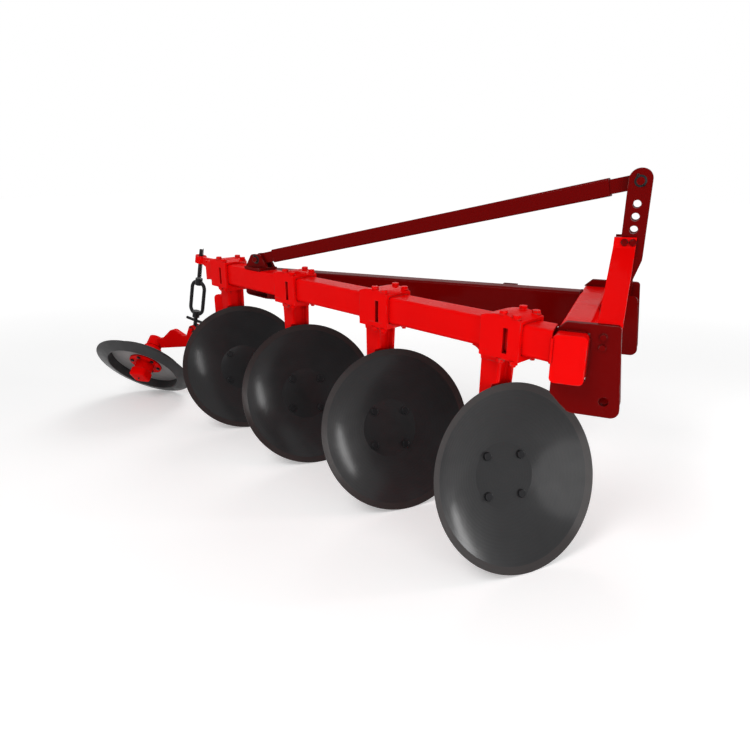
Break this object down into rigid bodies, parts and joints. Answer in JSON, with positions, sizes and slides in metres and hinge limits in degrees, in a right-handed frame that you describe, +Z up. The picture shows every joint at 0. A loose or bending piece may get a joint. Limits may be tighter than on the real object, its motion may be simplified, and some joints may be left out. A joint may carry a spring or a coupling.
{
  "type": "disc plough",
  "caption": "Tractor-mounted disc plough: slanted beam with inclined concave discs on standards, clevis hitch with mast and stay, leaning furrow wheel with screw adjuster, drop-leg stand.",
  "frame": {"origin": "middle of the footprint's bounding box, on the ground", "axes": "+X direction of travel, +Y the plough's left, +Z up"},
  "size_m": [2.9428, 1.184, 1.325],
  "materials": {
    "red_paint": "gloss",
    "dark_red_paint": "gloss",
    "disc_steel": "satin",
    "wheel_grey": "satin",
    "black_steel": "satin"
  },
  "bodies": {
    "frame": {"clamp_1": "red_paint", "standard_1": "red_paint", "clamp_2": "red_paint", "standard_2": "red_paint", "clamp_3": "red_paint", "standard_3": "red_paint", "clamp_4": "red_paint", "standard_4": "red_paint", "cross_member": "red_paint", "cross_end_right": "red_paint", "cross_end_left": "red_paint", "main_beam": "red_paint", "side_member": "dark_red_paint", "hitch_plate_right_outer": "dark_red_paint", "hitch_plate_left_outer": "dark_red_paint", "hitch_plate_right_inner": "dark_red_paint", "hitch_plate_left_inner": "dark_red_paint", "mast_cheek_right": "dark_red_paint", "mast_cheek_left": "dark_red_paint", "mast_brace_right": "red_paint", "mast_brace_left": "dark_red_paint", "stay": "dark_red_paint", "stay_foot": "dark_red_paint", "wheel_bracket": "red_paint", "screw_bracket": "red_paint", "stand_socket": "dark_red_paint"},
    "disc_1": {"blade_1": "disc_steel", "hub_1": "black_steel"},
    "disc_2": {"blade_2": "disc_steel", "hub_2": "black_steel"},
    "disc_3": {"blade_3": "disc_steel", "hub_3": "black_steel"},
    "disc_4": {"blade_4": "disc_steel", "hub_4": "black_steel"},
    "furrow_wheel": {"wheel_rim": "disc_steel", "wheel_web": "wheel_grey", "wheel_hub": "red_paint"},
    "wheel_arm": {"wheel_arm": "red_paint", "adjuster_fork": "red_paint"},
    "adjuster": {"turnbuckle": "black_steel", "adjusting_screw": "black_steel"},
    "stand": {"stand_leg": "dark_red_paint"}
  },
  "joints": [
    {"name": "disc_1_spin", "type": "hinge", "parent": "frame", "child": "disc_1", "pos_m": [1.15586, -0.33833, 0.31435], "axis": [0.7082, -0.6265, 0.3256], "continuous": true},
    {"name": "disc_2_spin", "type": "hinge", "parent": "frame", "child": "disc_2", "pos_m": [0.6204, -0.11544, 0.31435], "axis": [0.7082, -0.6265, 0.3256], "continuous": true},
    {"name": "disc_3_spin", "type": "hinge", "parent": "frame", "child": "disc_3", "pos_m": [0.08494, 0.10745, 0.31435], "axis": [0.7082, -0.6265, 0.3256], "continuous": true},
    {"name": "disc_4_spin", "type": "hinge", "parent": "frame", "child": "disc_4", "pos_m": [-0.45052, 0.33035, 0.31435], "axis": [0.7082, -0.6265, 0.3256], "continuous": true},
    {"name": "wheel_arm_lift", "type": "hinge", "parent": "frame", "child": "wheel_arm", "pos_m": [-0.72717, 0.46002, 0.408], "axis": [0, 1, 0], "range_deg": [-12, 12]},
    {"name": "wheel_spin", "type": "hinge", "parent": "wheel_arm", "child": "furrow_wheel", "pos_m": [-1.19252, 0.32998, 0.21132], "axis": [0.105, -0.7474, -0.6561], "continuous": true},
    {"name": "adjuster_slide", "type": "slide", "parent": "frame", "child": "adjuster", "axis": [0.2164, 0, 0.9763], "range_m": [-0.038, 0.038]},
    {"name": "stand_slide", "type": "slide", "parent": "frame", "child": "stand", "axis": [0, 0, 1], "range_m": [0, 0.35]}
  ],
  "couplings": [
    {"joint": "adjuster_slide", "follows": "wheel_arm_lift", "m_per_rad": 0.16996}
  ]
}
